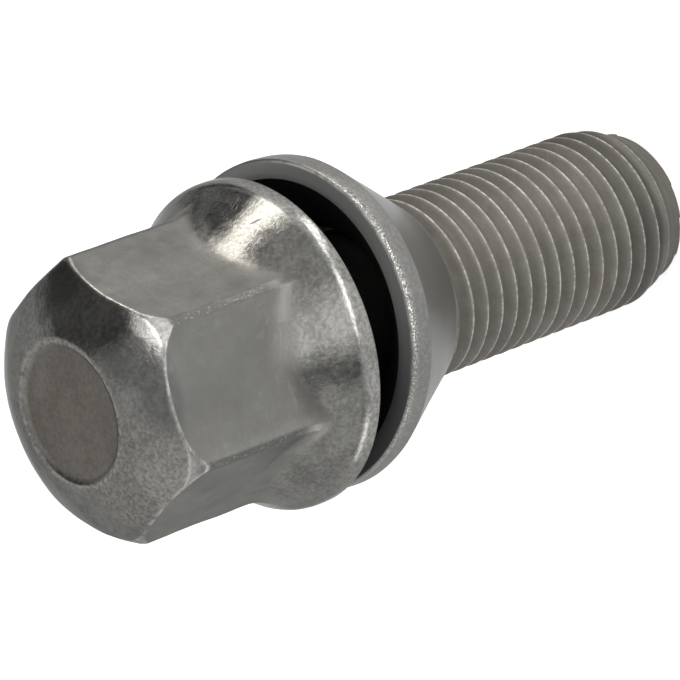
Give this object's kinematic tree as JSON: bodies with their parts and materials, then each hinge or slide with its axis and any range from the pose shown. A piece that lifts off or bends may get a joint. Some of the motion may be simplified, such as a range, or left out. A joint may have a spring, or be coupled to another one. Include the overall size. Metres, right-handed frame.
{
  "type": "wheel bolt",
  "caption": "Hex-head wheel bolt with a flange, a captive free-turning conical collar seat and a metric fine thread with a chamfered end.",
  "frame": {"origin": "centre of the flat end of the thread, which the bolt stands on", "axes": "+Z along the bolt's axis from the threaded end to the head, +X towards a corner of the hexagon, -Y out of a flat of the hexagon"},
  "size_m": [0.0255, 0.0256, 0.0563],
  "materials": {
    "bolt_steel": "coated grey steel, satin, lightly worn",
    "collar_steel": "coated grey steel, matt"
  },
  "bodies": {
    "bolt": {"bolt": "bolt_steel"},
    "collar": {"collar": "collar_steel"}
  },
  "joints": [
    {"name": "collar_spin", "type": "hinge", "parent": "bolt", "child": "collar", "pos_m": [0, 0, 0.02875], "axis": [0.087, -0.1019, 0.991], "continuous": true}
  ]
}
